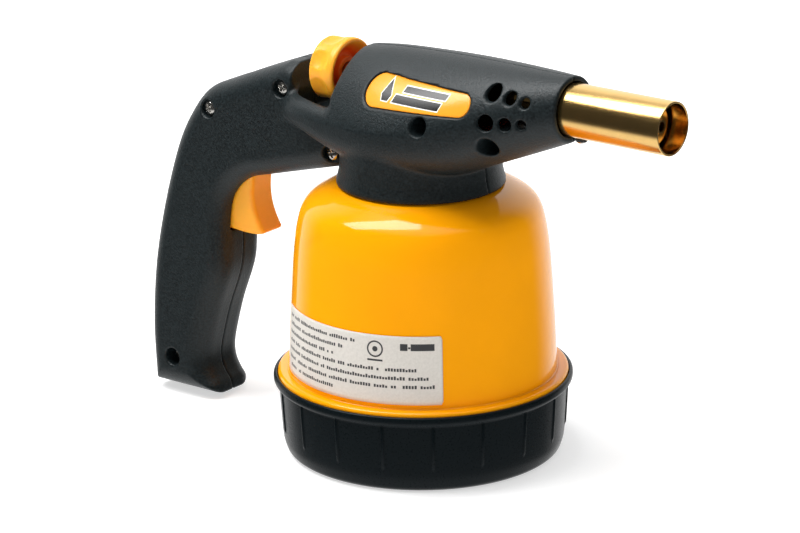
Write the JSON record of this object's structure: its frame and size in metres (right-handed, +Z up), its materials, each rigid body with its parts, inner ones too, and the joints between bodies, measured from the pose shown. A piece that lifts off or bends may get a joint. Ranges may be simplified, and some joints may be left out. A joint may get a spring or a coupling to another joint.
{
  "type": "propane torch",
  "caption": "Pistol-grip gas blowtorch with a bell-shaped cartridge holder, screw-on base cup, rear gas knob, piezo trigger and brass burner tube.",
  "frame": {"origin": "centre of the base cup's underside, which stands on the ground", "axes": "+X along the burner towards its mouth, +Y to the left across the tool, +Z up the axis of the cartridge"},
  "size_m": [0.2325, 0.1092, 0.1509],
  "materials": {
    "yellow_paint": "glossy stove-enamelled steel",
    "black_plastic": "fine spark-eroded grain",
    "base_plastic": "smooth, slightly glossy",
    "orange_plastic": "satin moulded",
    "badge_plastic": "satin moulded with printed motif",
    "label_film": "satin printed film",
    "brass": "polished",
    "steel": "plain turned steel",
    "screw_steel": "nickel-plated",
    "tin_plate": "tinned sheet",
    "seal_rubber": "matt nitrile",
    "ceramic": "glazed",
    "natural_plastic": "natural moulded",
    "wire_sleeve": "silicone sleeve"
  },
  "bodies": {
    "torch": {"holder_shell": "yellow_paint", "rating_label": "label_film", "valve_body": "brass", "holder_nut": "steel", "cartridge_seal": "seal_rubber", "piercing_needle": "steel", "gland_seal": "seal_rubber", "gland_nut": "brass", "gas_pipe": "brass", "gas_jet": "brass", "mixing_tube": "brass", "burner_tube": "brass", "burner_bush": "steel", "flame_disc": "steel", "burner_screw": "screw_steel", "electrode_insulator": "ceramic", "electrode_rod": "steel", "ignition_wire": "wire_sleeve", "piezo_case": "natural_plastic", "piezo_spring": "steel", "right_shell": "black_plastic", "left_shell": "black_plastic", "right_badge": "badge_plastic", "left_badge": "badge_plastic", "grip_top_screw": "screw_steel", "neck_screw": "screw_steel", "collar_screw": "screw_steel", "grip_bottom_screw": "screw_steel", "head_screw": "screw_steel", "nose_screw": "screw_steel"},
    "knob": {"gas_knob": "orange_plastic", "valve_spindle": "brass"},
    "trigger": {"trigger": "orange_plastic", "piezo_plunger": "black_plastic"},
    "cartridge": {"gas_cartridge": "tin_plate"},
    "base": {"base_cup": "base_plastic"}
  },
  "joints": [
    {"name": "trigger_pull", "type": "slide", "parent": "torch", "child": "trigger", "axis": [-1, 0, 0], "range_m": [0, 0.0055], "stiffness_N_per_m": 2500, "springref_m": -0.002, "deforming": ["piezo_spring"]},
    {"name": "knob_turn", "type": "hinge", "parent": "torch", "child": "knob", "pos_m": [-0.037, 0, 0.1367], "axis": [-1, 0, 0], "range_deg": [0, 540]},
    {"name": "base_drop", "type": "slide", "parent": "torch", "child": "cartridge", "axis": [0, 0, -1], "range_m": [0, 0.095]},
    {"name": "base_turn", "type": "hinge", "parent": "cartridge", "child": "base", "pos_m": [0, 0, 0.015], "axis": [0, 0, -1], "range_deg": [0, 360]}
  ]
}
